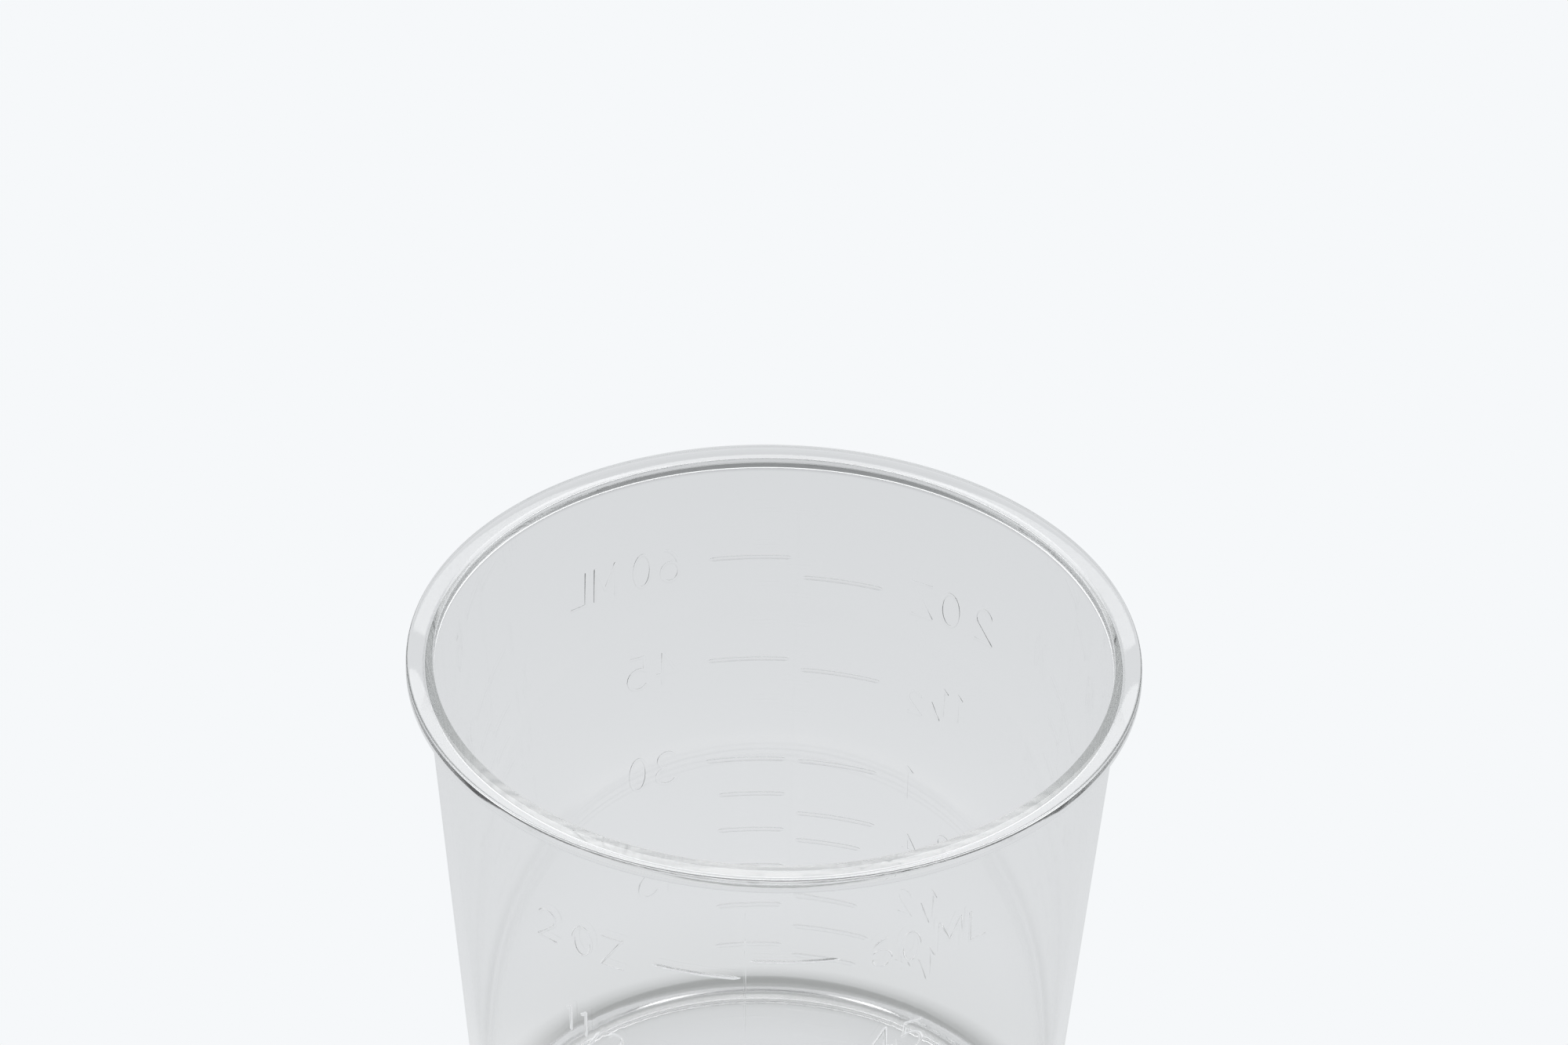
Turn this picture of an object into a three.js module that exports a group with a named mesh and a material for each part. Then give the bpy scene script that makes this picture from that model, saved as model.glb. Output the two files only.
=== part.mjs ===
// Graduated sampling cup, 60 mL / 2 fl oz, injection moulded in clear polystyrene.
//
// The cup is one moulding: a tapered wall on a flat floor, a turned-out rim bead at the mouth and a
// foot ring under the floor. Two equal scales stand proud of the outside of the wall, half a turn
// apart. Each has a fine upright line, with ounce lines to its left and millilitre lines to its right.
// The regions of the moulding meet on level faces, and each raised line is a solid of its own.
//
// Millimetres, +Z up. The origin is the centre of the foot, and the scales face -Y and +Y.

import * as THREE from 'three';

// Body of the cup.
const cupHeight = 49.0;
const wallTopRadius = 25.7; // outside of the wall, carried up to the level of the rim
const wallThickness = 0.7;
const wallDraft = THREE.MathUtils.degToRad(5.2);
const floorThickness = 1.0;
const floorFillet = 1.2; // inside, between the floor and the wall

// Rim bead.
const beadOverhang = 1.3;
const beadHeight = 1.1;
const beadCorner = 0.25;

// Foot ring.
const footHeight = 0.8;
const footWidth = 1.2;
const footCorner = 0.25;

// Raised lines of the scales.
const lineHeight = 0.4; // of a level line, up the wall
const lineProud = 0.2;
const lineSeat = 0.03; // clearance between a raised line and the wall
const longLine = 6.6;
const shortLine = 5.5;
const lineInset = 0.3; // from the upright line's middle to the end of a level line
const uprightWidth = 0.16;
const uprightProud = 0.12;
const uprightDrop = 3.6; // from the rim to the top of the upright line

// Places of the lines. The upper half of each scale is evenly spaced, the lower half by volume.
const millilitreTopDrop = 8.9; // from the rim to the 60 mL line
const millilitreHalfHeight = 20.3; // from the floor to the 30 mL line
const ounceTopDrop = 10.6; // from the rim to the 2 oz line
const ounceHalfHeight = 20.2; // from the floor to the 1 oz line

// Fineness of the round surfaces.
const turnSegments = 96;
const cornerSteps = 2;
const lineStepLength = 1.1;

const wallSlope = Math.tan(wallDraft);
const floorLevel = footHeight + floorThickness;
const wallFootLevel = floorLevel + floorFillet;
const beadFootLevel = cupHeight - beadHeight;

const outerRadius = (level) => wallTopRadius - wallSlope * (cupHeight - level);
const innerRadius = (level) => outerRadius(level) - wallThickness;

const clearPolystyrene = () => new THREE.MeshStandardMaterial({
  color: 0xdcdee1,
  roughness: 0.08,
  metalness: 0,
  transparent: true,
  opacity: 0.4,
});

function piece(name, geometry) {
  const mesh = new THREE.Mesh(geometry, clearPolystyrene());
  mesh.name = name;
  return mesh;
}

// A profile of radius and level, turned about the upright axis.
function turned(path) {
  const geometry = new THREE.LatheGeometry(path.getPoints(cornerSteps), turnSegments);
  return geometry.rotateX(Math.PI / 2);
}

function sideWall() {
  const profile = new THREE.Path();
  profile.moveTo(innerRadius(wallFootLevel), wallFootLevel);
  profile.lineTo(outerRadius(wallFootLevel), wallFootLevel);
  profile.lineTo(outerRadius(beadFootLevel), beadFootLevel);
  profile.lineTo(innerRadius(beadFootLevel), beadFootLevel);
  profile.lineTo(innerRadius(wallFootLevel), wallFootLevel);
  return piece('side_wall', turned(profile));
}

function rimBead() {
  const rimRadius = wallTopRadius + beadOverhang;
  const quarter = Math.PI / 2;
  const cornerRadius = rimRadius - beadCorner;
  const mouthRadius = innerRadius(cupHeight) + beadCorner;
  const profile = new THREE.Path();
  profile.moveTo(innerRadius(beadFootLevel), beadFootLevel);
  profile.lineTo(cornerRadius, beadFootLevel);
  profile.absarc(cornerRadius, beadFootLevel + beadCorner, beadCorner, -quarter, 0);
  profile.absarc(cornerRadius, cupHeight - beadCorner, beadCorner, 0, quarter);
  profile.absarc(mouthRadius, cupHeight - beadCorner, beadCorner, quarter, 2 * quarter);
  profile.lineTo(innerRadius(beadFootLevel), beadFootLevel);
  return piece('rim_bead', turned(profile));
}

function floorDisc() {
  const profile = new THREE.Path();
  profile.moveTo(0, footHeight);
  profile.lineTo(outerRadius(footHeight), footHeight);
  profile.lineTo(outerRadius(floorLevel), floorLevel);
  profile.lineTo(0, floorLevel);
  return piece('floor_disc', turned(profile));
}

// The foot of the wall, with the fillet inside it.
function wallCorner() {
  const filletRadius = innerRadius(wallFootLevel) - floorFillet;
  const profile = new THREE.Path();
  profile.moveTo(filletRadius, floorLevel);
  profile.lineTo(outerRadius(floorLevel), floorLevel);
  profile.lineTo(outerRadius(wallFootLevel), wallFootLevel);
  profile.lineTo(innerRadius(wallFootLevel), wallFootLevel);
  profile.absarc(filletRadius, wallFootLevel, floorFillet, 0, -Math.PI / 2, true);
  return piece('wall_corner', turned(profile));
}

function footRing() {
  const footRadius = outerRadius(0);
  const cornerRadius = footRadius - footCorner;
  const profile = new THREE.Path();
  profile.moveTo(footRadius - footWidth, 0);
  profile.lineTo(cornerRadius, 0);
  profile.absarc(cornerRadius, footCorner, footCorner, -Math.PI / 2, 0);
  profile.lineTo(outerRadius(footHeight), footHeight);
  profile.lineTo(footRadius - footWidth, footHeight);
  profile.lineTo(footRadius - footWidth, 0);
  return piece('foot_ring', turned(profile));
}

// Lays a straight bar onto the outside of the wall. The bar's x stands out from the wall, its y is
// the level, and its z runs along the wall, to the left as seen from outside.
function laidOnWall(geometry, bearing) {
  const corner = new THREE.Vector3();
  const places = geometry.getAttribute('position');
  for (let index = 0; index < places.count; index += 1) {
    corner.fromBufferAttribute(places, index);
    const wallRadius = outerRadius(corner.y);
    const turn = bearing - corner.z / wallRadius;
    const radius = wallRadius + corner.x;
    places.setXYZ(index, radius * Math.cos(turn), radius * Math.sin(turn), corner.y);
  }
  return geometry;
}

// A level line with a softened face, from `start` to `start + length` along the wall.
function levelLine(name, bearing, level, start, length) {
  const half = lineHeight / 2;
  const shoulder = (lineSeat + lineProud) / 2;
  const section = new THREE.Shape();
  section.moveTo(lineSeat, level - half);
  section.lineTo(shoulder, level - half);
  section.lineTo(lineProud, level - half / 2);
  section.lineTo(lineProud, level + half / 2);
  section.lineTo(shoulder, level + half);
  section.lineTo(lineSeat, level + half);
  const steps = Math.ceil(length / lineStepLength);
  const bar = new THREE.ExtrudeGeometry(section, { depth: length, steps, bevelEnabled: false });
  return piece(name, laidOnWall(bar.translate(0, 0, start), bearing));
}

function uprightLine(name, bearing) {
  const top = cupHeight - uprightDrop;
  const section = new THREE.Shape();
  section.moveTo(lineSeat, wallFootLevel);
  section.lineTo(uprightProud, wallFootLevel);
  section.lineTo(uprightProud, top);
  section.lineTo(lineSeat, top);
  const bar = new THREE.ExtrudeGeometry(section, { depth: uprightWidth, bevelEnabled: false });
  return piece(name, laidOnWall(bar.translate(0, 0, -uprightWidth / 2), bearing));
}

// The height above the floor that holds a share of what the cup holds up to another height.
function heightHolding(share, fullHeight) {
  const floorRadius = innerRadius(floorLevel);
  const cubeAt = (height) => (floorRadius + wallSlope * height) ** 3;
  const cube = cubeAt(0) + share * (cubeAt(fullHeight) - cubeAt(0));
  return (Math.cbrt(cube) - floorRadius) / wallSlope;
}

// The level of a line that reads `share` of the full scale.
function lineLevel(share, topDrop, halfHeight) {
  if (share <= 0.5) {
    return floorLevel + heightHolding(2 * share, halfHeight);
  }
  const halfLevel = floorLevel + halfHeight;
  return halfLevel + (2 * share - 1) * (cupHeight - topDrop - halfLevel);
}

const millilitreLines = [
  { label: '60', amount: 60, length: longLine },
  { label: '45', amount: 45, length: longLine },
  { label: '30', amount: 30, length: longLine },
  { label: '25', amount: 25, length: shortLine },
  { label: '20', amount: 20, length: shortLine },
  { label: '15', amount: 15, length: longLine },
  { label: '10', amount: 10, length: shortLine },
  { label: '5', amount: 5, length: shortLine },
];

const ounceLines = [
  { label: '2', amount: 2, length: longLine },
  { label: '1_1-2', amount: 3 / 2, length: longLine },
  { label: '1', amount: 1, length: longLine },
  { label: '3-4', amount: 3 / 4, length: longLine },
  { label: '5-8', amount: 5 / 8, length: shortLine },
  { label: '1-2', amount: 1 / 2, length: longLine },
  { label: '3-8', amount: 3 / 8, length: shortLine },
  { label: '1-4', amount: 1 / 4, length: longLine },
  { label: '1-8', amount: 1 / 8, length: shortLine },
];

function scale(side, bearing) {
  const group = new THREE.Group();
  group.add(uprightLine(`${side}_scale_line`, bearing));
  for (const { label, amount, length } of millilitreLines) {
    const level = lineLevel(amount / 60, millilitreTopDrop, millilitreHalfHeight);
    group.add(levelLine(`${side}_ml_line_${label}`, bearing, level, -lineInset - length, length));
  }
  for (const { label, amount, length } of ounceLines) {
    const level = lineLevel(amount / 2, ounceTopDrop, ounceHalfHeight);
    group.add(levelLine(`${side}_oz_line_${label}`, bearing, level, lineInset, length));
  }
  return group;
}

const cup = new THREE.Group();
cup.add(rimBead(), sideWall(), wallCorner(), floorDisc(), footRing());
cup.add(scale('front', -Math.PI / 2), scale('back', Math.PI / 2));

export default cup;
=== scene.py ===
"""Looks of the graduated sampling cup: one clear polystyrene moulding with raised scales."""

import math

import bmesh
import bpy
from mathutils import Matrix, Vector


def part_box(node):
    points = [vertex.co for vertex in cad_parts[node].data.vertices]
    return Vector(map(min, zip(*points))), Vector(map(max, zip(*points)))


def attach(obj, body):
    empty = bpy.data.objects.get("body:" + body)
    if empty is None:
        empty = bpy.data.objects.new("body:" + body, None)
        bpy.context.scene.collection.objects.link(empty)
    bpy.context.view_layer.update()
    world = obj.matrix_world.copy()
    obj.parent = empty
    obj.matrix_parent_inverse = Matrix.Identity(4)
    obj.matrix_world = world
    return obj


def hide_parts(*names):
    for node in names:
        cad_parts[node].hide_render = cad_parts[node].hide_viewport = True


MM = 0.001
SAME_LEVEL = 0.01 * MM    # points nearer in height than this count as level with each other

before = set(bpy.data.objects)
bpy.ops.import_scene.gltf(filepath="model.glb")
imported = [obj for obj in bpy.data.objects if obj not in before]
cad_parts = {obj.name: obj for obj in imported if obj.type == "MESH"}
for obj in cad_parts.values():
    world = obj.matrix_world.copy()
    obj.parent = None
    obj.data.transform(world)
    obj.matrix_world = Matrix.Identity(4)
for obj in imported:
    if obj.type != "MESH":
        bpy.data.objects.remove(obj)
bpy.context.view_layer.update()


# ---------------------------------------------------------------------------
# Sizes read from the frame
# ---------------------------------------------------------------------------

def radii_at(node, level):
    """The smallest and largest radius of a turned CAD node at one level."""
    found = [
        math.hypot(v.co.x, v.co.y)
        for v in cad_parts[node].data.vertices
        if abs(v.co.z - level) < SAME_LEVEL
    ]
    return min(found), max(found)


FLOOR_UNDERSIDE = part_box("floor_disc")[0].z
FLOOR_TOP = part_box("floor_disc")[1].z
WALL_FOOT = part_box("side_wall")[0].z
BEAD_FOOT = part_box("rim_bead")[0].z
RIM_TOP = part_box("rim_bead")[1].z
RIM_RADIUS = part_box("rim_bead")[1].x
FOOT_INNER_RADIUS = radii_at("foot_ring", FLOOR_UNDERSIDE)[0]
INNER_AT_FOOT, OUTER_AT_FOOT = radii_at("side_wall", WALL_FOOT)
INNER_AT_BEAD, OUTER_AT_BEAD = radii_at("side_wall", BEAD_FOOT)
WALL_SLOPE = (OUTER_AT_BEAD - OUTER_AT_FOOT) / (BEAD_FOOT - WALL_FOOT)
OUTER_AT_ZERO = OUTER_AT_FOOT - WALL_SLOPE * WALL_FOOT
WALL_THICKNESS = OUTER_AT_FOOT - INNER_AT_FOOT
FLOOR_FILLET = WALL_FOOT - FLOOR_TOP

# Small radii that the mould's cutter leaves.
BEAD_CORNER = 0.25 * MM
BEAD_ROOT = 0.3 * MM
MOUTH_CORNER = 0.12 * MM
BEAD_RISE = 2.0           # degrees: the bead's underside rises outwards, to leave the mould
FOOT_CORNER = 0.25 * MM
FOOT_ROOT = 0.3 * MM

# Fineness of the turned surfaces.
TURN_SEGMENTS = 360
WALL_ROWS = 24
FLOOR_ROWS = 5
UNDERSIDE_ROWS = 4
CORNER_STEPS = 8
CORNER_ROOM = 1 * MM      # a straight run stops this far from a corner
MIDDLE_RING = 4 * MM      # radius of the first ring of points under the floor
PATH_RADIUS = 10 * MM     # radius of the circle that carries the section round the axis
WELD = 0.001 * MM         # points nearer than this are merged
SLIVER = 0.0001 * MM      # a face narrower than this is left over from joining

# Which faces are shaded as the true cone of the wall.
CONE_FOOT = WALL_FOOT - 2.5 * MM
ON_CONE = 0.004 * MM      # a corner this near the cone lies on it
SHARP_ANGLE = 35.0        # degrees: a steeper edge than this stays sharp


def outer_radius(level):
    """Radius of the outside of the wall."""
    return OUTER_AT_ZERO + WALL_SLOPE * level


def inner_radius(level):
    """Radius of the inside of the wall."""
    return outer_radius(level) - WALL_THICKNESS


# ---------------------------------------------------------------------------
# Helpers
# ---------------------------------------------------------------------------

def add_node(tree, kind, inputs=None, **settings):
    """Adds one node with its settings, and links or sets its inputs."""
    node = tree.nodes.new(kind)
    for name, value in settings.items():
        setattr(node, name, value)
    for name, value in (inputs or {}).items():
        if isinstance(value, bpy.types.NodeSocket):
            tree.links.new(value, node.inputs[name])
        else:
            node.inputs[name].default_value = value
    return node


def arc(centre, radius, start, end, steps=CORNER_STEPS):
    """Points of an arc in the plane, angles in degrees."""
    points = []
    for step in range(steps + 1):
        angle = math.radians(start + (end - start) * step / steps)
        x = centre[0] + radius * math.cos(angle)
        y = centre[1] + radius * math.sin(angle)
        points.append((x, y))
    return points


def run(start, end, steps):
    """Points of a straight run, without its last point."""
    return [
        tuple(a + (b - a) * step / steps for a, b in zip(start, end))
        for step in range(steps)
    ]


# ---------------------------------------------------------------------------
# The turned body
# ---------------------------------------------------------------------------

def body_profile():
    """The half section of the moulding, from the axis under the floor to the axis above it."""
    # Underside of the floor, and the foot ring.
    points = [(0.0, FLOOR_UNDERSIDE)]
    middle = (MIDDLE_RING, FLOOR_UNDERSIDE)
    underside_edge = FOOT_INNER_RADIUS - FOOT_ROOT
    points += run(middle, (underside_edge, FLOOR_UNDERSIDE), UNDERSIDE_ROWS)
    root = (underside_edge, FLOOR_UNDERSIDE - FOOT_ROOT)
    points += arc(root, FOOT_ROOT, 90, 0)
    inside = (FOOT_INNER_RADIUS + FOOT_CORNER, FOOT_CORNER)
    points += arc(inside, FOOT_CORNER, 180, 270)
    outside = (outer_radius(0) - FOOT_CORNER, FOOT_CORNER)
    points += arc(outside, FOOT_CORNER, 270, 360)

    # Outside of the wall, and the bead.
    rise = math.radians(BEAD_RISE)
    outer_face = RIM_RADIUS - BEAD_CORNER
    root_radius = outer_radius(BEAD_FOOT - 2 * BEAD_ROOT) + BEAD_ROOT
    flat = outer_face + BEAD_CORNER * math.sin(rise) - root_radius + BEAD_ROOT * math.sin(rise)
    corner_level = BEAD_FOOT + BEAD_CORNER * (1 - math.cos(rise))
    bead_root_level = corner_level - flat * math.tan(rise) - BEAD_ROOT * math.cos(rise)
    wall_start = (outer_radius(CORNER_ROOM), CORNER_ROOM)
    wall_end = (outer_radius(bead_root_level), bead_root_level)
    points += run(wall_start, wall_end, WALL_ROWS)
    points += arc((root_radius, bead_root_level), BEAD_ROOT, 180, 90 + BEAD_RISE)
    points += arc((outer_face, BEAD_FOOT + BEAD_CORNER), BEAD_CORNER, 270 + BEAD_RISE, 360)
    points += arc((outer_face, RIM_TOP - BEAD_CORNER), BEAD_CORNER, 0, 90)

    # Mouth, inside of the wall, and top of the floor.
    mouth = inner_radius(RIM_TOP) + MOUTH_CORNER
    points += arc((mouth, RIM_TOP - MOUTH_CORNER), MOUTH_CORNER, 90, 180)
    inner_start = (inner_radius(RIM_TOP - CORNER_ROOM), RIM_TOP - CORNER_ROOM)
    points += run(inner_start, (INNER_AT_FOOT, WALL_FOOT), WALL_ROWS)
    floor_edge = INNER_AT_FOOT - FLOOR_FILLET
    points += arc((floor_edge, WALL_FOOT), FLOOR_FILLET, 0, -90)
    points += run((floor_edge - CORNER_ROOM, FLOOR_TOP), (0.0, FLOOR_TOP), FLOOR_ROWS)
    points.append((0.0, FLOOR_TOP))
    return points


def new_curve(name, strokes):
    """A curve object. Each stroke is its points (x, y, z, radius) and whether it is closed."""
    data = bpy.data.curves.new(name, "CURVE")
    data.dimensions = "3D"
    for points, closed in strokes:
        spline = data.splines.new("POLY")
        spline.points.add(len(points) - 1)
        spline.use_cyclic_u = closed
        for point, (x, y, z, radius) in zip(spline.points, points):
            point.co = (x, y, z, 1.0)
            point.radius = radius
    made = bpy.data.objects.new(name, data)
    bpy.context.scene.collection.objects.link(made)
    return made


def new_tree(name, sockets):
    """A geometry node tree with named inputs; sockets are (name, kind)."""
    tree = bpy.data.node_groups.new(name, "GeometryNodeTree")
    tree.interface.new_socket("Geometry", in_out="INPUT", socket_type="NodeSocketGeometry")
    for label, kind in sockets:
        tree.interface.new_socket(label, in_out="INPUT", socket_type=kind)
    tree.interface.new_socket("Geometry", in_out="OUTPUT", socket_type="NodeSocketGeometry")
    return tree


def baked(obj, tree, values, name):
    """Runs a tree on an object, and returns the result as an object with a plain mesh."""
    modifier = obj.modifiers.new(tree.name, "NODES")
    modifier.node_group = tree
    for item in tree.interface.items_tree:
        if item.in_out == "INPUT" and item.name in values:
            modifier[item.identifier] = values[item.name]
    bpy.context.view_layer.update()
    graph = bpy.context.evaluated_depsgraph_get()
    mesh = bpy.data.meshes.new_from_object(obj.evaluated_get(graph), depsgraph=graph)
    mesh.name = name
    bpy.data.objects.remove(obj)
    made = bpy.data.objects.new(name, mesh)
    bpy.context.scene.collection.objects.link(made)
    return made


def turned_body_tree(material):
    """Turns the section about the upright axis."""
    tree = new_tree("turned_body", [
        ("Segments", "NodeSocketInt"),
        ("Path Radius", "NodeSocketFloat"),
    ])
    given = add_node(tree, "NodeGroupInput")
    path = add_node(tree, "GeometryNodeCurvePrimitiveCircle", {
        "Resolution": given.outputs["Segments"],
        "Radius": given.outputs["Path Radius"],
    })
    turned = add_node(tree, "GeometryNodeCurveToMesh", {
        "Curve": path.outputs["Curve"],
        "Profile Curve": given.outputs["Geometry"],
    })
    merged = add_node(tree, "GeometryNodeMergeByDistance", {
        "Geometry": turned.outputs["Mesh"],
        "Distance": WELD,
    })
    real = add_node(tree, "GeometryNodeRealizeInstances", {
        "Geometry": merged.outputs["Geometry"],
    })
    coated = add_node(tree, "GeometryNodeSetMaterial", {
        "Geometry": real.outputs["Geometry"],
        "Material": material,
    })
    add_node(tree, "NodeGroupOutput", {"Geometry": coated.outputs["Geometry"]})
    return tree


# ---------------------------------------------------------------------------
# The raised scale: lines and numerals, drawn flat and then wrapped onto the wall
# ---------------------------------------------------------------------------

# A mark's width and how far it stands out of the wall. It is cut with a round-nosed tool, whose
# whole round has to stay within the wall's thickness.
LINE_MARK = (0.4 * MM, 0.12 * MM)
UPRIGHT_MARK = (0.16 * MM, 0.012 * MM)
NUMERAL_MARK = (0.3 * MM, 0.036 * MM)
NUMERAL_HEIGHT = 2.8 * MM
FRACTION_HEIGHT = 2.3 * MM
DENOMINATOR_SCALE = 0.85  # its height beside the numerator's
DENOMINATOR_DROP = 0.7 * MM
LETTER_GAP = 0.85 * MM
SLASH_GAP = 0.3 * LETTER_GAP
WORD_GAP = 1.6 * MM
NUMERAL_START = 9.2 * MM  # along the wall from the upright line
LINE_FADE = 0.5 * MM      # the tool lifts out of the mould over this length at a line's ends
SCALE_COPIES = 2

# Fineness of the strokes.
LINE_STEPS = 12
ARC_STEPS = 14
BOWL_STEPS = 24
RING_STEPS = 28
BALL_SHARES = (0.97, 0.8, 0.5, 0.0)    # places of a ball end's rings, in shares of its radius
SAME_POINT = 1e-9
STROKE_SIDES = 24
STROKE_LAYERS = 4         # as many as the strokes of the fullest letter


def ellipse(x, y, half_width, half_height, start, end, steps=ARC_STEPS):
    """Points of an elliptical arc, angles in degrees."""
    points = []
    for step in range(steps + 1):
        angle = math.radians(start + (end - start) * step / steps)
        points.append((x + half_width * math.cos(angle), y + half_height * math.sin(angle)))
    return points


# Each glyph is its width and its strokes, in shares of the letter height.
GLYPHS = {
    "0": (0.50, [ellipse(0.25, 0.5, 0.25, 0.5, 90, 450, RING_STEPS)]),
    "1": (0.22, [[(0.0, 0.84), (0.16, 1.0)], [(0.16, 1.0), (0.16, 0.0)]]),
    "2": (0.60, [
        ellipse(0.30, 0.70, 0.28, 0.30, 165, -30) + [(0.0, 0.0)],
        [(0.0, 0.0), (0.60, 0.0)],
    ]),
    "3": (0.55, [
        ellipse(0.25, 0.76, 0.25, 0.24, 150, -90),
        ellipse(0.25, 0.26, 0.30, 0.26, 90, -150),
    ]),
    "4": (0.60, [
        [(0.42, 1.0), (0.0, 0.32)],
        [(0.0, 0.32), (0.60, 0.32)],
        [(0.42, 1.0), (0.42, 0.0)],
    ]),
    "5": (0.55, [
        [(0.50, 1.0), (0.08, 1.0)],
        [(0.08, 1.0), (0.04, 0.54)],
        ellipse(0.24, 0.32, 0.31, 0.32, 140, -145),
    ]),
    "6": (0.52, [
        ellipse(0.26, 0.30, 0.26, 0.30, 90, 450, BOWL_STEPS),
        ellipse(0.50, 0.36, 0.50, 0.64, 100, 172),
    ]),
    "O": (0.56, [ellipse(0.28, 0.5, 0.28, 0.5, 90, 450, RING_STEPS)]),
    "Z": (0.62, [
        [(0.0, 1.0), (0.62, 1.0)],
        [(0.62, 1.0), (0.0, 0.0)],
        [(0.0, 0.0), (0.62, 0.0)],
    ]),
    "M": (0.64, [
        [(0.0, 0.0), (0.0, 1.0)],
        [(0.0, 1.0), (0.32, 0.25)],
        [(0.32, 0.25), (0.64, 1.0)],
        [(0.64, 1.0), (0.64, 0.0)],
    ]),
    "L": (0.50, [[(0.0, 1.0), (0.0, 0.0)], [(0.0, 0.0), (0.50, 0.0)]]),
    "/": (0.36, [[(0.0, 0.05), (0.36, 0.75)]]),
}


def round_end(end, inner, radius):
    """Points of a ball end, from its tip to the end of the stroke."""
    length = math.dist(end, inner)
    outward = [(a - b) / length for a, b in zip(end, inner)]
    points = []
    for share in BALL_SHARES:
        place = [a + d * share * radius for a, d in zip(end, outward)]
        points.append((*place, radius * math.sqrt(1.0 - share * share)))
    return points


def tool_radius(mark):
    """Radius of the round nose that cuts a mark this wide and this deep in the mould."""
    width, proud = mark
    return (width * width / 4 + proud * proud) / (2 * proud)


def rounded_stroke(points, mark):
    """A flat stroke as the path of the round nose, sunk in the wall, with its ball ends."""
    radius = tool_radius(mark)
    sink = mark[1] - radius
    if math.dist(points[0], points[-1]) < SAME_POINT:
        path = [(x, y, radius) for x, y in points[:-1]]
    else:
        start = round_end(points[0], points[1], radius)
        finish = round_end(points[-1], points[-2], radius)
        path = start + [(x, y, radius) for x, y in points[1:-1]] + finish[::-1]
    closed = len(path) < len(points)
    return [(x, y, sink, size) for x, y, size in path], closed


def faded_line(start, end, mark):
    """A straight scale line whose ends run out into the wall."""
    radius = tool_radius(mark)
    sink = mark[1] - radius
    share = LINE_FADE / math.dist(start, end)
    full = [
        tuple(a + (b - a) * part for a, b in zip(start, end))
        for part in (share, 1 - share)
    ]
    path = [(*start, sink, -sink)]
    path += [(x, y, sink, radius) for x, y in run(full[0], full[1], LINE_STEPS) + [full[1]]]
    path.append((*end, sink, -sink))
    return path, False


def letters(text, left, base, height):
    """Strokes of a text by layer, with its left edge and its base line."""
    layers = [[] for layer in range(STROKE_LAYERS)]
    for letter in text:
        if letter == " ":
            left += WORD_GAP - LETTER_GAP
            continue
        width, shapes = GLYPHS[letter]
        for layer, shape in enumerate(shapes, STROKE_LAYERS - 1 if letter == "/" else 0):
            placed = [(left + x * height, base + y * height) for x, y in shape]
            layers[layer].append(rounded_stroke(placed, NUMERAL_MARK))
        left += width * height + LETTER_GAP
    return layers


def text_width(text, height):
    """Width of a text as letters() lays it out."""
    width = -LETTER_GAP
    for letter in text:
        if letter == " ":
            width += WORD_GAP - LETTER_GAP
        else:
            width += GLYPHS[letter][0] * height + LETTER_GAP
    return width


def numeral(whole, fraction, side, level):
    """A whole number and a fraction, centred on a level; side is 1 for right, -1 for left."""
    height = FRACTION_HEIGHT if fraction else NUMERAL_HEIGHT
    small = height * DENOMINATOR_SCALE
    top, bottom = fraction.split("/") if fraction else ("", "")
    upper = whole + top
    lower_width = text_width("/" + bottom, small) + SLASH_GAP if fraction else 0.0
    width = text_width(upper, height) + lower_width
    left = NUMERAL_START if side > 0 else -NUMERAL_START - width
    base = level - height / 2
    placed = [letters(upper, left, base, height)]
    if fraction:
        slash = left + width - lower_width + SLASH_GAP
        placed.append(letters("/", slash, base - DENOMINATOR_DROP, small))
        lower = left + width - text_width(bottom, small)
        placed.append(letters(bottom, lower, base - DENOMINATOR_DROP, small))
    return [sum(layer, []) for layer in zip(*placed)]


def line_span(node):
    """Where a CAD scale line of the front lies: its ends along the wall and its level."""
    low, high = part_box(node)
    level = (low.z + high.z) / 2
    turns = [math.atan2(v.co.x, -v.co.y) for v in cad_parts[node].data.vertices]
    radius = outer_radius(level)
    return min(turns) * radius, max(turns) * radius, level


# The whole number and the fraction beside a scale line.
LABELS = {
    "front_ml_line_60": ("60 ML", ""),
    "front_ml_line_45": ("45", ""),
    "front_ml_line_30": ("30", ""),
    "front_ml_line_15": ("15", ""),
    "front_oz_line_2": ("2 OZ", ""),
    "front_oz_line_1_1-2": ("1", "1/2"),
    "front_oz_line_1": ("1", ""),
    "front_oz_line_3-4": ("", "3/4"),
    "front_oz_line_1-2": ("", "1/2"),
    "front_oz_line_1-4": ("", "1/4"),
}


def scale_strokes():
    """The strokes of one scale in layers, drawn flat: x along the wall, y up the cup.

    Strokes of one layer never touch, so that each layer joins the wall as clean separate ridges.
    """
    layers = [[] for layer in range(STROKE_LAYERS)]
    for node in sorted(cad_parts):
        if not node.startswith("front_") or node == "front_scale_line":
            continue
        start, end, level = line_span(node)
        layers[0].append(faded_line((start, level), (end, level), LINE_MARK))
        if node in LABELS:
            side = 1 if end > 0 else -1
            for layer, strokes in zip(layers, numeral(*LABELS[node], side, level)):
                layer += strokes
    low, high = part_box("front_scale_line")
    layers[0].append(faded_line((0.0, low.z), (0.0, high.z), UPRIGHT_MARK))
    return layers


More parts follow.
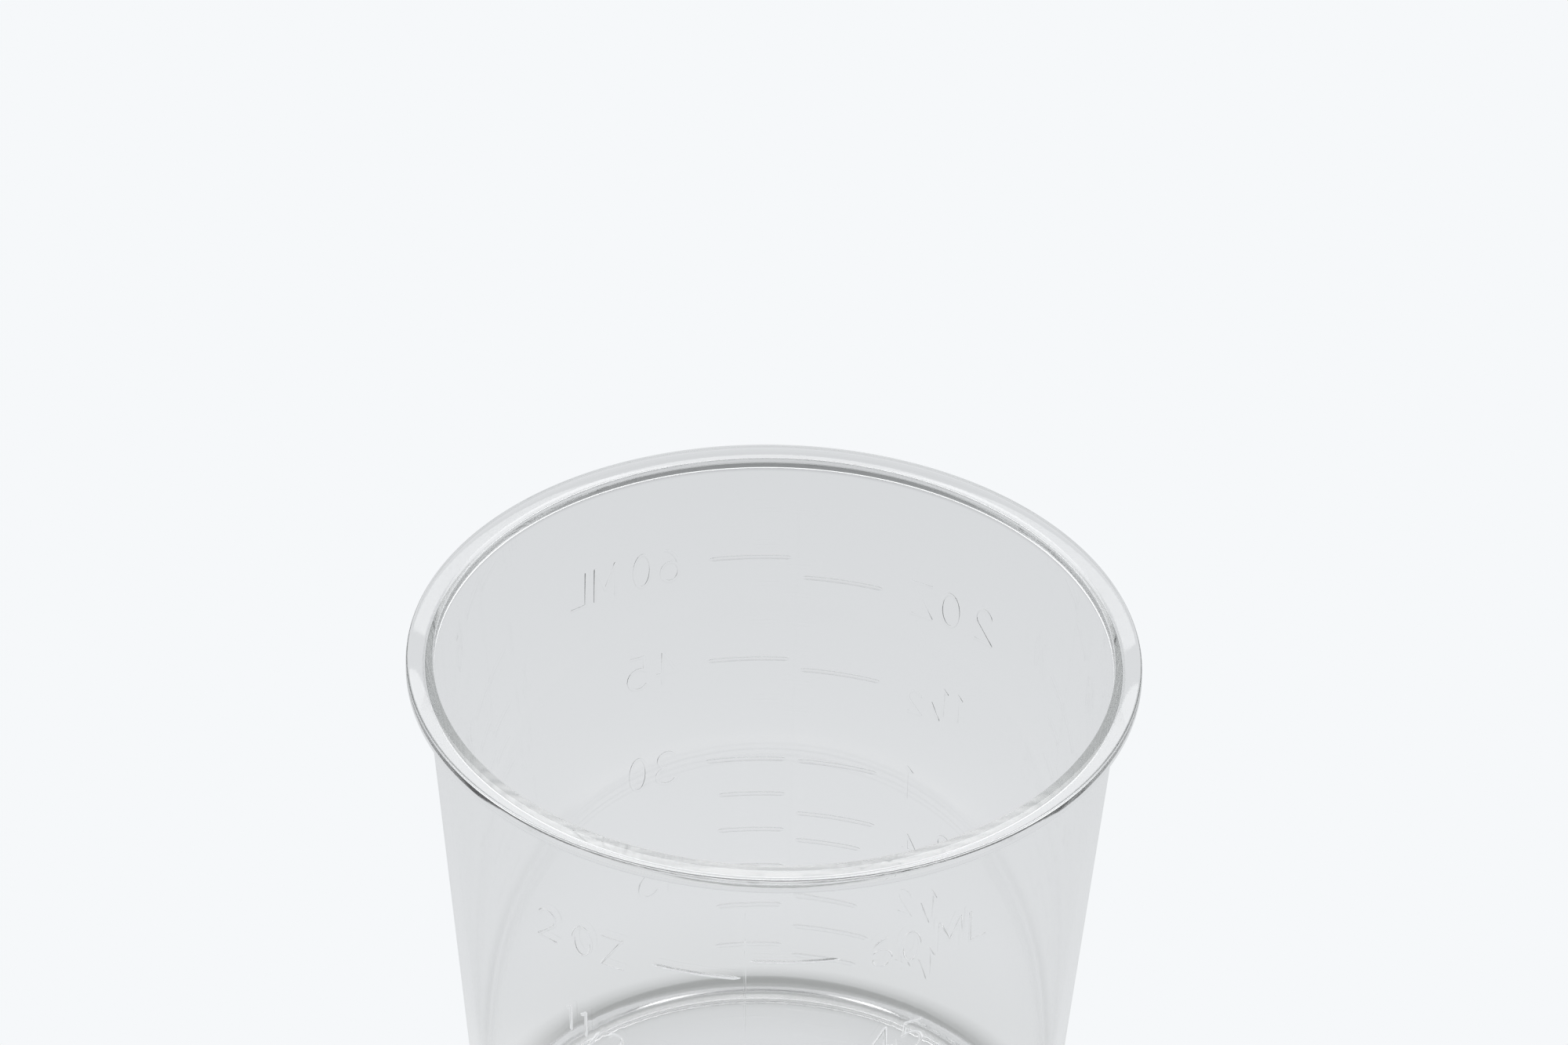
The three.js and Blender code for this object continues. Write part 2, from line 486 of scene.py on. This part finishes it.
def raised_scale_tree(material):
    """Wraps flat strokes onto the tapered wall, rounds them, and copies them round the cup."""
    tree = new_tree("raised_scale", [
        ("Wall Radius At Zero", "NodeSocketFloat"),
        ("Wall Slope", "NodeSocketFloat"),
        ("Copies", "NodeSocketInt"),
        ("Sides", "NodeSocketInt"),
    ])
    given = add_node(tree, "NodeGroupInput")
    place = add_node(tree, "GeometryNodeInputPosition")
    flat = add_node(tree, "ShaderNodeSeparateXYZ", {"Vector": place.outputs["Position"]})
    wall = add_node(tree, "ShaderNodeMath", {
        0: flat.outputs["Y"],
        1: given.outputs["Wall Slope"],
        2: given.outputs["Wall Radius At Zero"],
    }, operation="MULTIPLY_ADD")
    turn = add_node(tree, "ShaderNodeMath", {
        0: flat.outputs["X"],
        1: wall.outputs["Value"],
    }, operation="DIVIDE")
    sunk = add_node(tree, "ShaderNodeMath", {
        0: wall.outputs["Value"],
        1: flat.outputs["Z"],
    }, operation="ADD")
    ahead = add_node(tree, "ShaderNodeMath", {
        0: sunk.outputs["Value"],
        1: -1.0,
    }, operation="MULTIPLY")
    front = add_node(tree, "ShaderNodeCombineXYZ", {
        "Y": ahead.outputs["Value"],
        "Z": flat.outputs["Y"],
    })
    on_wall = add_node(tree, "ShaderNodeVectorRotate", {
        "Vector": front.outputs["Vector"],
        "Angle": turn.outputs["Value"],
    }, rotation_type="Z_AXIS")
    wrapped = add_node(tree, "GeometryNodeSetPosition", {
        "Geometry": given.outputs["Geometry"],
        "Position": on_wall.outputs["Vector"],
    })
    section = add_node(tree, "GeometryNodeCurvePrimitiveCircle", {
        "Resolution": given.outputs["Sides"],
        "Radius": 1.0,
    })
    thickness = add_node(tree, "GeometryNodeInputRadius")
    rounded = add_node(tree, "GeometryNodeCurveToMesh", {
        "Curve": wrapped.outputs["Geometry"],
        "Profile Curve": section.outputs["Curve"],
        "Scale": thickness.outputs["Radius"],
        "Fill Caps": True,
    })
    spots = add_node(tree, "GeometryNodePoints", {"Count": given.outputs["Copies"]})
    number = add_node(tree, "GeometryNodeInputIndex")
    share = add_node(tree, "ShaderNodeMath", {
        0: number.outputs["Index"],
        1: given.outputs["Copies"],
    }, operation="DIVIDE")
    angle = add_node(tree, "ShaderNodeMath", {
        0: share.outputs["Value"],
        1: math.tau,
    }, operation="MULTIPLY")
    rotation = add_node(tree, "ShaderNodeCombineXYZ", {"Z": angle.outputs["Value"]})
    copies = add_node(tree, "GeometryNodeInstanceOnPoints", {
        "Points": spots.outputs[0],
        "Instance": rounded.outputs["Mesh"],
        "Rotation": rotation.outputs["Vector"],
    })
    real = add_node(tree, "GeometryNodeRealizeInstances", {
        "Geometry": copies.outputs["Instances"],
    })
    coated = add_node(tree, "GeometryNodeSetMaterial", {
        "Geometry": real.outputs["Geometry"],
        "Material": material,
    })
    add_node(tree, "NodeGroupOutput", {"Geometry": coated.outputs["Geometry"]})
    return tree


# ---------------------------------------------------------------------------
# The plastic
# ---------------------------------------------------------------------------

WALL_RIPPLE = (9 * MM, 0.002 * MM)     # length of a wave and how far it swells
WALL_FLOW = (1.0, 1.0, 0.35)           # the waves are drawn out up the wall, as the melt flows
BEAD_RIPPLE = (1.6 * MM, 0.008 * MM)
BEAD_RIPPLE_START = RIM_RADIUS - 0.3 * MM
BEAD_RIPPLE_FULL = RIM_RADIUS - 0.1 * MM
LEVEL_ONLY = (1.0, 1.0, 0.0)           # leaves the radius of a place, without its height


def srgb(code):
    """A linear colour from an sRGB hex code."""
    channels = [int(code[i:i + 2], 16) / 255 for i in (0, 2, 4)]
    linear = [c / 12.92 if c <= 0.04045 else ((c + 0.055) / 1.055) ** 2.4 for c in channels]
    return (*linear, 1.0)


def new_material(name):
    """A material and its empty node tree."""
    material = bpy.data.materials.new(name)
    material.use_nodes = True
    tree = material.node_tree
    tree.nodes.clear()
    return material, tree


def clear_polystyrene():
    """Crystal polystyrene, injection moulded in a polished mould: clear and glossy.

    The flow of the melt leaves a faint ripple on the wall. The bead is less even, because the
    melt reaches it last. Light that runs along inside the wall loses strength, so the rim and the
    foot look darker than the wall.
    """
    material, tree = new_material("crystal_polystyrene_moulded")
    place = add_node(tree, "ShaderNodeTexCoord").outputs["Object"]
    flow = add_node(tree, "ShaderNodeMapping", {
        "Vector": place,
        "Scale": WALL_FLOW,
    })
    ripple = add_node(tree, "ShaderNodeTexNoise", {
        "Vector": flow.outputs["Vector"],
        "Scale": 1 / WALL_RIPPLE[0],
        "Detail": 1.0,
        "Roughness": 0.4,
    })
    wall_bump = add_node(tree, "ShaderNodeBump", {
        "Height": ripple.outputs["Fac"],
        "Strength": 1.0,
        "Distance": WALL_RIPPLE[1],
    })
    across = add_node(tree, "ShaderNodeVectorMath", {
        0: place,
        1: LEVEL_ONLY,
    }, operation="MULTIPLY")
    radius = add_node(tree, "ShaderNodeVectorMath", {
        0: across.outputs["Vector"],
    }, operation="LENGTH")
    on_bead = add_node(tree, "ShaderNodeMapRange", {
        "Value": radius.outputs["Value"],
        "From Min": BEAD_RIPPLE_START,
        "From Max": BEAD_RIPPLE_FULL,
    })
    uneven = add_node(tree, "ShaderNodeTexNoise", {
        "Vector": place,
        "Scale": 1 / BEAD_RIPPLE[0],
        "Detail": 2.0,
    })
    bead_bump = add_node(tree, "ShaderNodeBump", {
        "Height": uneven.outputs["Fac"],
        "Strength": on_bead.outputs["Result"],
        "Distance": BEAD_RIPPLE[1],
        "Normal": wall_bump.outputs["Normal"],
    })
    shader = add_node(tree, "ShaderNodeBsdfPrincipled", {
        "Base Color": srgb("FEFEFE"),
        "Roughness": 0.02,
        "IOR": 1.59,
        "Transmission Weight": 1.0,
        "Normal": bead_bump.outputs["Normal"],
    })
    inside = add_node(tree, "ShaderNodeVolumeAbsorption", {
        "Color": srgb("B9BDBA"),
        "Density": 6.0,
    })
    add_node(tree, "ShaderNodeOutputMaterial", {
        "Surface": shader.outputs["BSDF"],
        "Volume": inside.outputs["Volume"],
    })
    return material


# ---------------------------------------------------------------------------
# The moulding
# ---------------------------------------------------------------------------

def cup_moulding(material):
    """The whole cup as one closed mesh, with its scales standing out of the wall."""
    section = [(x - PATH_RADIUS, -y, 0.0, 1.0) for x, y in reversed(body_profile())]
    cup = baked(new_curve("section", [(section, False)]), turned_body_tree(material), {
        "Segments": TURN_SEGMENTS,
        "Path Radius": PATH_RADIUS,
    }, "cup_moulding")
    tree = raised_scale_tree(material)
    for strokes in scale_strokes():
        ridges = baked(new_curve("strokes", strokes), tree, {
            "Wall Radius At Zero": OUTER_AT_ZERO,
            "Wall Slope": WALL_SLOPE,
            "Copies": SCALE_COPIES,
            "Sides": STROKE_SIDES,
        }, "ridges")
        join(cup, ridges)
    remove_slivers(cup.data)
    smooth_turned_faces(cup.data)
    return cup


def join(piece, added):
    """Joins a closed mesh to a piece, so that the two become one closed mesh."""
    union = piece.modifiers.new("union", "BOOLEAN")
    union.operation = "UNION"
    union.solver = "MANIFOLD"
    union.object = added
    bpy.context.view_layer.update()
    graph = bpy.context.evaluated_depsgraph_get()
    joined = bpy.data.meshes.new_from_object(piece.evaluated_get(graph), depsgraph=graph)
    joined.name = piece.name
    piece.modifiers.clear()
    piece.data = joined
    bpy.data.objects.remove(added)


def remove_slivers(mesh):
    """Removes the faces of almost no width that joining leaves, and keeps the mesh closed."""
    work = bmesh.new()
    work.from_mesh(mesh)
    bmesh.ops.dissolve_degenerate(work, dist=SLIVER, edges=work.edges)
    work.to_mesh(mesh)
    work.free()


def smooth_turned_faces(mesh):
    """Smooth shading, with the faces of the wall given the normals of their true cone."""
    mesh.shade_smooth()
    mesh.set_sharp_from_angle(angle=math.radians(SHARP_ANGLE))
    normals = []
    for face in mesh.polygons:
        on_wall = all(is_on_wall(mesh.vertices[v].co) for v in face.vertices)
        flat = face.normal
        across = math.atan2(face.center.y, face.center.x)
        for v in face.vertices:
            if not on_wall:
                normals.append((0.0, 0.0, 0.0))
                continue
            corner = mesh.vertices[v].co
            turn = math.atan2(corner.y, corner.x) - across
            normals.append(Matrix.Rotation(turn, 3, "Z") @ flat)
    mesh.normals_split_custom_set(normals)


def is_on_wall(point):
    """Whether a point lies on the outside or the inside of the tapered wall."""
    radius = math.hypot(point.x, point.y)
    if not CONE_FOOT < point.z < BEAD_FOOT:
        return False
    nearest = min(abs(radius - outer_radius(point.z)), abs(radius - inner_radius(point.z)))
    return nearest < ON_CONE


# ---------------------------------------------------------------------------
# Stage, light and camera
# ---------------------------------------------------------------------------

BACKGROUND = "F6F8FA"     # the floor and the room, where they are seen
LIGHT_BOUNCES = 96        # enough to bring out the light that runs down inside the thin wall

# How bright the floor is at each distance from the middle of the foot, as the plastic sees it. On
# the side that the light falls on, a bright ring round the foot is painted light; behind the cup,
# a dark ring under the foot is painted shadow.
FLOOR_REACH = 220 * MM
FLOOR_PAINTED_LIGHT = [
    (0.0, "DEE0E2"),
    (19 * MM, "DEE0E2"),
    (23 * MM, "FFFFFF"),
    (28 * MM, "E8EAEB"),
    (36 * MM, "DFE1E3"),
    (60 * MM, "DCDEE0"),
    (90 * MM, "D9DBDD"),
    (FLOOR_REACH, "CACCCE"),
]
FLOOR_PAINTED_SHADOW = [
    (0.0, "DEE0E2"),
    (16 * MM, "DADCDE"),
    (20 * MM, "D0D2D3"),
    (22 * MM, "8E908F"),
    (23.5 * MM, "8E908F"),
    (25.5 * MM, "DCDEDF"),
    (34 * MM, "E0E2E4"),
    (60 * MM, "DCDEE0"),
    (90 * MM, "D9DBDD"),
    (FLOOR_REACH, "CACCCE"),
]
# The painted shadow deepens between these, from the cup's side at 0 to straight behind it at 1.
PAINTED_SHADOW_START = 0.2
PAINTED_SHADOW_FULL = 0.8
FLOOR_HALF_WIDTH = 3.0
FLOOR_DROP = 0.05 * MM    # the floor lies this far under the foot

# How bright the room is at each elevation, in degrees, as the plastic reflects it.
ROOM_LIGHT = [
    (0.0, "D2D4D6"),
    (20.0, "DCDEE0"),
    (45.0, "D8DADC"),
    (60.0, "7C7E7F"),
    (90.0, "707273"),
]

# Numbers of a Mix node's colour sockets, because its socket names repeat.
MIX_COLOUR_A = 6
MIX_COLOUR_B = 7
MIX_COLOUR_RESULT = 2


def set_stops(ramp, stops, full):
    """Gives a new colour ramp, which has two stops, all of its stops (place, sRGB hex)."""
    elements = ramp.color_ramp.elements
    for stop in range(len(stops) - 2):
        elements.new(0.5)
    for element, (place, colour) in zip(elements, stops):
        element.position = place / full
        element.color = srgb(colour)


def floor_paper():
    """Pale paper: even where it is seen, with painted light and painted shadow round the foot in
    the plastic.
    """
    material, tree = new_material("pale_floor_with_painted_light_and_shadow")
    place = add_node(tree, "ShaderNodeTexCoord").outputs["Object"]
    distance = add_node(tree, "ShaderNodeVectorMath", {0: place}, operation="LENGTH")
    reach = add_node(tree, "ShaderNodeMath", {
        0: distance.outputs["Value"],
        1: FLOOR_REACH,
    }, operation="DIVIDE")
    # Painted light: a bright ring round the foot, as the plastic sees the floor.
    lit = add_node(tree, "ShaderNodeValToRGB", {"Fac": reach.outputs["Value"]})
    set_stops(lit, FLOOR_PAINTED_LIGHT, FLOOR_REACH)
    # Painted shadow: a dark ring under the foot, behind the cup.
    shaded = add_node(tree, "ShaderNodeValToRGB", {"Fac": reach.outputs["Value"]})
    set_stops(shaded, FLOOR_PAINTED_SHADOW, FLOOR_REACH)
    direction = add_node(tree, "ShaderNodeVectorMath", {0: place}, operation="NORMALIZE")
    behind = add_node(tree, "ShaderNodeSeparateXYZ", {"Vector": direction.outputs["Vector"]})
    # Where the painted shadow falls: it deepens towards straight behind the cup.
    shade = add_node(tree, "ShaderNodeMapRange", {
        "Value": behind.outputs["Y"],
        "From Min": PAINTED_SHADOW_START,
        "From Max": PAINTED_SHADOW_FULL,
    }, interpolation_type="SMOOTHSTEP")
    painted_floor_light = add_node(tree, "ShaderNodeMix", {
        "Factor": shade.outputs["Result"],
        MIX_COLOUR_A: lit.outputs["Color"],
        MIX_COLOUR_B: shaded.outputs["Color"],
    }, data_type="RGBA")
    path = add_node(tree, "ShaderNodeLightPath")
    seen = add_node(tree, "ShaderNodeEmission", {"Color": srgb(BACKGROUND)})
    # The plastic sees the painted light and painted shadow; the camera sees the even floor.
    in_plastic = add_node(tree, "ShaderNodeEmission", {
        "Color": painted_floor_light.outputs[MIX_COLOUR_RESULT],
    })
    mixed = add_node(tree, "ShaderNodeMixShader", {
        0: path.outputs["Is Camera Ray"],
        1: in_plastic.outputs["Emission"],
        2: seen.outputs["Emission"],
    })
    add_node(tree, "ShaderNodeOutputMaterial", {"Surface": mixed.outputs["Shader"]})
    return material


def floor():
    """A pale floor under the cup: plain where it is seen, with painted light and painted shadow
    round the foot.
    """
    half = FLOOR_HALF_WIDTH
    mesh = bpy.data.meshes.new("floor")
    corners = [(-half, -half, 0), (half, -half, 0), (half, half, 0), (-half, half, 0)]
    mesh.from_pydata(corners, [], [(0, 1, 2, 3)])
    mesh.materials.append(floor_paper())
    made = bpy.data.objects.new("floor", mesh)
    made.location.z = -FLOOR_DROP
    bpy.context.scene.collection.objects.link(made)


def surroundings():
    """A pale room: seen as the floor's colour, and dimmer overhead as the plastic reflects it."""
    world = bpy.data.worlds.new("pale_room")
    bpy.context.scene.world = world
    world.use_nodes = True
    tree = world.node_tree
    tree.nodes.clear()
    direction = add_node(tree, "ShaderNodeTexCoord").outputs["Generated"]
    height = add_node(tree, "ShaderNodeSeparateXYZ", {"Vector": direction})
    room = add_node(tree, "ShaderNodeValToRGB", {"Fac": height.outputs["Z"]})
    heights = [(math.sin(math.radians(elevation)), colour) for elevation, colour in ROOM_LIGHT]
    set_stops(room, heights, 1.0)
    path = add_node(tree, "ShaderNodeLightPath")
    seen = add_node(tree, "ShaderNodeBackground", {"Color": srgb(BACKGROUND)})
    in_plastic = add_node(tree, "ShaderNodeBackground", {"Color": room.outputs["Color"]})
    mixed = add_node(tree, "ShaderNodeMixShader", {
        0: path.outputs["Is Camera Ray"],
        1: in_plastic.outputs["Background"],
        2: seen.outputs["Background"],
    })
    add_node(tree, "ShaderNodeOutputWorld", {"Surface": mixed.outputs["Shader"]})


def soft_box(name, place, aim, width, height, strength):
    """A soft area light at a place, turned to a point."""
    data = bpy.data.lights.new(name, "AREA")
    data.shape = "RECTANGLE"
    data.size = width
    data.size_y = height
    data.energy = strength
    made = bpy.data.objects.new(name, data)
    made.location = place
    made.rotation_euler = (Vector(aim) - Vector(place)).to_track_quat("-Z", "Y").to_euler()
    bpy.context.scene.collection.objects.link(made)


def camera():
    """A long lens above the front of the cup, with the cup low in the picture."""
    distance = 25.02 * RIM_RADIUS
    elevation = math.radians(36.55)
    pitch = math.radians(35.72)
    roll = math.radians(1.21)
    azimuth = math.radians(3.72)
    aside = 0.019 * RIM_RADIUS
    forward = Vector((0, math.cos(pitch), -math.sin(pitch)))
    right = Vector((1, 0, 0))
    up = right.cross(forward)
    rolled_right = math.cos(roll) * right + math.sin(roll) * up
    rolled_up = math.cos(roll) * up - math.sin(roll) * right
    turn = Matrix.Rotation(azimuth, 4, "Z")
    axes = Matrix((rolled_right, rolled_up, -forward)).transposed().to_4x4()
    back = -distance * math.cos(elevation)
    place = Vector((aside, back, RIM_TOP + distance * math.sin(elevation)))
    data = bpy.data.cameras.new("camera")
    data.sensor_width = 36.0
    data.lens = 211.5
    data.clip_start = 0.01
    data.clip_end = 20.0
    made = bpy.data.objects.new("camera", data)
    made.matrix_world = turn @ Matrix.Translation(place) @ axes
    bpy.context.scene.collection.objects.link(made)
    bpy.context.scene.camera = made


# ---------------------------------------------------------------------------
# The cup on its stage
# ---------------------------------------------------------------------------

cup = cup_moulding(clear_polystyrene())
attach(cup, "root")
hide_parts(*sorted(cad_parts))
floor()
surroundings()
soft_box(
    "back_soft_box",
    place=(-0.04, 0.61, 0.64),
    aim=(0, 0, 0.049),
    width=0.62,
    height=0.21,
    strength=0.7,
)
camera()
scene = bpy.context.scene
scene.view_settings.view_transform = "Standard"
scene.cycles.max_bounces = LIGHT_BOUNCES
scene.cycles.glossy_bounces = LIGHT_BOUNCES
scene.cycles.transmission_bounces = LIGHT_BOUNCES
